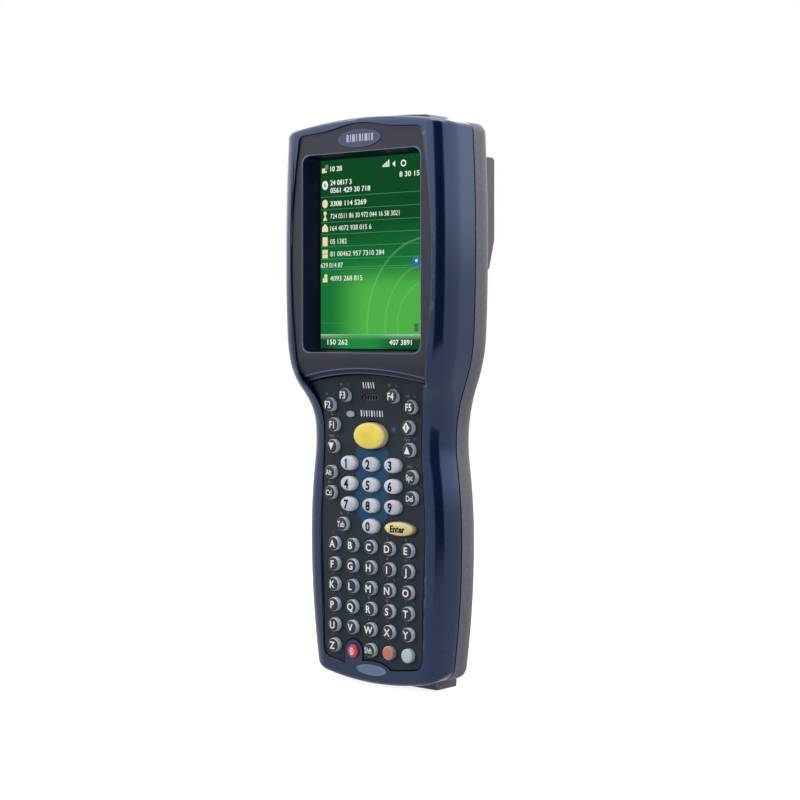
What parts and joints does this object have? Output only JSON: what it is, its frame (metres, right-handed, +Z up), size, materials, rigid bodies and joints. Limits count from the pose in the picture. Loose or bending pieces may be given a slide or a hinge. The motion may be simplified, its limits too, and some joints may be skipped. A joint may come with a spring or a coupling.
{
  "type": "portable barcode data terminal",
  "caption": "Rugged handheld data terminal with a portrait display, alphanumeric keypad, scan window at the top, removable battery and a screw-on handle mount behind the head.",
  "frame": {"origin": "middle of the overall box, on the surface that its two feet stand on", "axes": "+Z up along the terminal, from the feet to the scan window; -Y out of the display and keys; +X to the user's right"},
  "size_m": [0.084, 0.045, 0.2132],
  "materials": {
    "navy_shell": "satin moulded, fine metallic speckle",
    "bezel_plastic": "fine texture",
    "plate_plastic": "fine texture",
    "grey_shell": "satin moulded",
    "block_plastic": "satin moulded",
    "touch_glass": "clear",
    "screen": "lit display picture",
    "black_rubber": "matt",
    "grey_rubber": "matt",
    "circuit_board": "solder mask",
    "black_plastic": "matt",
    "red_window": "polished, dark red",
    "clear_lens": "polished",
    "badge_blue": "metallic print, bare",
    "steel": "zinc plated",
    "battery_plastic": "fine texture",
    "latch_plastic": "satin",
    "key_cap": "satin, translucent with a dark printed disc",
    "digit_cap": "satin, translucent",
    "scan_yellow": "satin",
    "enter_yellow": "satin",
    "power_red": "satin",
    "orange_cap": "satin",
    "pale_blue_cap": "satin"
  },
  "bodies": {
    "housing": {"front_housing": "navy_shell", "display_bezel": "bezel_plastic", "keypad_plate": "plate_plastic", "rear_housing": "grey_shell", "handle_mount_block": "block_plastic", "touch_panel": "touch_glass", "lcd_module": "screen", "lcd_gasket": "black_rubber", "main_board": "circuit_board", "keypad_board": "circuit_board", "key_mat": "grey_rubber", "battery_contacts": "black_plastic", "scan_engine": "black_plastic", "scan_window": "red_window", "speaker": "black_plastic", "speaker_grille": "black_plastic", "status_light_lens": "clear_lens", "upper_badge": "badge_blue", "lower_badge": "badge_blue", "dock_connector": "black_plastic", "housing_screws": "steel", "block_screws": "steel", "seal_gasket": "black_rubber"},
    "scan_key": {"scan_key": "scan_yellow"},
    "enter_key": {"enter_key": "enter_yellow"},
    "power_key": {"power_key": "power_red"},
    "shift_key": {"shift_key": "key_cap"},
    "orange_key": {"orange_key": "orange_cap"},
    "blue_key": {"blue_key": "pale_blue_cap"},
    "tab_key": {"tab_key": "key_cap"},
    "alt_key": {"alt_key": "key_cap"},
    "space_key": {"space_key": "key_cap"},
    "control_key": {"control_key": "key_cap"},
    "delete_key": {"delete_key": "key_cap"},
    "down_key": {"down_key": "key_cap"},
    "up_key": {"up_key": "key_cap"},
    "f1_key": {"f1_key": "key_cap"},
    "f2_key": {"f2_key": "key_cap"},
    "f3_key": {"f3_key": "key_cap"},
    "f4_key": {"f4_key": "key_cap"},
    "f5_key": {"f5_key": "key_cap"},
    "diamond_key": {"diamond_key": "key_cap"},
    "digit_0_key": {"digit_0_key": "digit_cap"},
    "digit_1_key": {"digit_1_key": "digit_cap"},
    "digit_2_key": {"digit_2_key": "digit_cap"},
    "digit_3_key": {"digit_3_key": "digit_cap"},
    "digit_4_key": {"digit_4_key": "digit_cap"},
    "digit_5_key": {"digit_5_key": "digit_cap"},
    "digit_6_key": {"digit_6_key": "digit_cap"},
    "digit_7_key": {"digit_7_key": "digit_cap"},
    "digit_8_key": {"digit_8_key": "digit_cap"},
    "digit_9_key": {"digit_9_key": "digit_cap"},
    "letter_keys_a_to_e": {"letter_keys_a_to_e": "key_cap"},
    "letter_keys_f_to_j": {"letter_keys_f_to_j": "key_cap"},
    "letter_keys_k_to_o": {"letter_keys_k_to_o": "key_cap"},
    "letter_keys_p_to_t": {"letter_keys_p_to_t": "key_cap"},
    "letter_keys_u_to_y": {"letter_keys_u_to_y": "key_cap"},
    "letter_key_z": {"letter_key_z": "key_cap"},
    "battery": {"battery_pack": "battery_plastic"},
    "latch": {"battery_latch": "latch_plastic"}
  },
  "joints": [
    {"name": "scan_key_press", "type": "slide", "parent": "housing", "child": "scan_key", "axis": [0, 1, 0], "range_m": [0, 0.0008], "stiffness_N_per_m": 600},
    {"name": "enter_key_press", "type": "slide", "parent": "housing", "child": "enter_key", "axis": [0, 1, 0], "range_m": [0, 0.0008], "stiffness_N_per_m": 600},
    {"name": "power_key_press", "type": "slide", "parent": "housing", "child": "power_key", "axis": [0, 1, 0], "range_m": [0, 0.0008], "stiffness_N_per_m": 600},
    {"name": "shift_key_press", "type": "slide", "parent": "housing", "child": "shift_key", "axis": [0, 1, 0], "range_m": [0, 0.0008], "stiffness_N_per_m": 600},
    {"name": "orange_key_press", "type": "slide", "parent": "housing", "child": "orange_key", "axis": [0, 1, 0], "range_m": [0, 0.0008], "stiffness_N_per_m": 600},
    {"name": "blue_key_press", "type": "slide", "parent": "housing", "child": "blue_key", "axis": [0, 1, 0], "range_m": [0, 0.0008], "stiffness_N_per_m": 600},
    {"name": "tab_key_press", "type": "slide", "parent": "housing", "child": "tab_key", "axis": [0, 1, 0], "range_m": [0, 0.0008], "stiffness_N_per_m": 600},
    {"name": "alt_key_press", "type": "slide", "parent": "housing", "child": "alt_key", "axis": [0, 1, 0], "range_m": [0, 0.0008], "stiffness_N_per_m": 600},
    {"name": "space_key_press", "type": "slide", "parent": "housing", "child": "space_key", "axis": [0, 1, 0], "range_m": [0, 0.0008], "stiffness_N_per_m": 600},
    {"name": "control_key_press", "type": "slide", "parent": "housing", "child": "control_key", "axis": [0, 1, 0], "range_m": [0, 0.0008], "stiffness_N_per_m": 600},
    {"name": "delete_key_press", "type": "slide", "parent": "housing", "child": "delete_key", "axis": [0, 1, 0], "range_m": [0, 0.0008], "stiffness_N_per_m": 600},
    {"name": "down_key_press", "type": "slide", "parent": "housing", "child": "down_key", "axis": [0, 1, 0], "range_m": [0, 0.0008], "stiffness_N_per_m": 600},
    {"name": "up_key_press", "type": "slide", "parent": "housing", "child": "up_key", "axis": [0, 1, 0], "range_m": [0, 0.0008], "stiffness_N_per_m": 600},
    {"name": "f1_key_press", "type": "slide", "parent": "housing", "child": "f1_key", "axis": [0, 1, 0], "range_m": [0, 0.0008], "stiffness_N_per_m": 600},
    {"name": "f2_key_press", "type": "slide", "parent": "housing", "child": "f2_key", "axis": [0, 1, 0], "range_m": [0, 0.0008], "stiffness_N_per_m": 600},
    {"name": "f3_key_press", "type": "slide", "parent": "housing", "child": "f3_key", "axis": [0, 1, 0], "range_m": [0, 0.0008], "stiffness_N_per_m": 600},
    {"name": "f4_key_press", "type": "slide", "parent": "housing", "child": "f4_key", "axis": [0, 1, 0], "range_m": [0, 0.0008], "stiffness_N_per_m": 600},
    {"name": "f5_key_press", "type": "slide", "parent": "housing", "child": "f5_key", "axis": [0, 1, 0], "range_m": [0, 0.0008], "stiffness_N_per_m": 600},
    {"name": "diamond_key_press", "type": "slide", "parent": "housing", "child": "diamond_key", "axis": [0, 1, 0], "range_m": [0, 0.0008], "stiffness_N_per_m": 600},
    {"name": "digit_0_key_press", "type": "slide", "parent": "housing", "child": "digit_0_key", "axis": [0, 1, 0], "range_m": [0, 0.0008], "stiffness_N_per_m": 600},
    {"name": "digit_1_key_press", "type": "slide", "parent": "housing", "child": "digit_1_key", "axis": [0, 1, 0], "range_m": [0, 0.0008], "stiffness_N_per_m": 600},
    {"name": "digit_2_key_press", "type": "slide", "parent": "housing", "child": "digit_2_key", "axis": [0, 1, 0], "range_m": [0, 0.0008], "stiffness_N_per_m": 600},
    {"name": "digit_3_key_press", "type": "slide", "parent": "housing", "child": "digit_3_key", "axis": [0, 1, 0], "range_m": [0, 0.0008], "stiffness_N_per_m": 600},
    {"name": "digit_4_key_press", "type": "slide", "parent": "housing", "child": "digit_4_key", "axis": [0, 1, 0], "range_m": [0, 0.0008], "stiffness_N_per_m": 600},
    {"name": "digit_5_key_press", "type": "slide", "parent": "housing", "child": "digit_5_key", "axis": [0, 1, 0], "range_m": [0, 0.0008], "stiffness_N_per_m": 600},
    {"name": "digit_6_key_press", "type": "slide", "parent": "housing", "child": "digit_6_key", "axis": [0, 1, 0], "range_m": [0, 0.0008], "stiffness_N_per_m": 600},
    {"name": "digit_7_key_press", "type": "slide", "parent": "housing", "child": "digit_7_key", "axis": [0, 1, 0], "range_m": [0, 0.0008], "stiffness_N_per_m": 600},
    {"name": "digit_8_key_press", "type": "slide", "parent": "housing", "child": "digit_8_key", "axis": [0, 1, 0], "range_m": [0, 0.0008], "stiffness_N_per_m": 600},
    {"name": "digit_9_key_press", "type": "slide", "parent": "housing", "child": "digit_9_key", "axis": [0, 1, 0], "range_m": [0, 0.0008], "stiffness_N_per_m": 600},
    {"name": "letter_keys_a_to_e_press", "type": "slide", "parent": "housing", "child": "letter_keys_a_to_e", "axis": [0, 1, 0], "range_m": [0, 0.0008], "stiffness_N_per_m": 600},
    {"name": "letter_keys_f_to_j_press", "type": "slide", "parent": "housing", "child": "letter_keys_f_to_j", "axis": [0, 1, 0], "range_m": [0, 0.0008], "stiffness_N_per_m": 600},
    {"name": "letter_keys_k_to_o_press", "type": "slide", "parent": "housing", "child": "letter_keys_k_to_o", "axis": [0, 1, 0], "range_m": [0, 0.0008], "stiffness_N_per_m": 600},
    {"name": "letter_keys_p_to_t_press", "type": "slide", "parent": "housing", "child": "letter_keys_p_to_t", "axis": [0, 1, 0], "range_m": [0, 0.0008], "stiffness_N_per_m": 600},
    {"name": "letter_keys_u_to_y_press", "type": "slide", "parent": "housing", "child": "letter_keys_u_to_y", "axis": [0, 1, 0], "range_m": [0, 0.0008], "stiffness_N_per_m": 600},
    {"name": "letter_key_z_press", "type": "slide", "parent": "housing", "child": "letter_key_z", "axis": [0, 1, 0], "range_m": [0, 0.0008], "stiffness_N_per_m": 600},
    {"name": "battery_slide", "type": "slide", "parent": "housing", "child": "battery", "axis": [0, 1, 0], "range_m": [0, 0.03]},
    {"name": "latch_slide", "type": "slide", "parent": "housing", "child": "latch", "axis": [0, 0, 1], "range_m": [0, 0.003], "stiffness_N_per_m": 200}
  ]
}
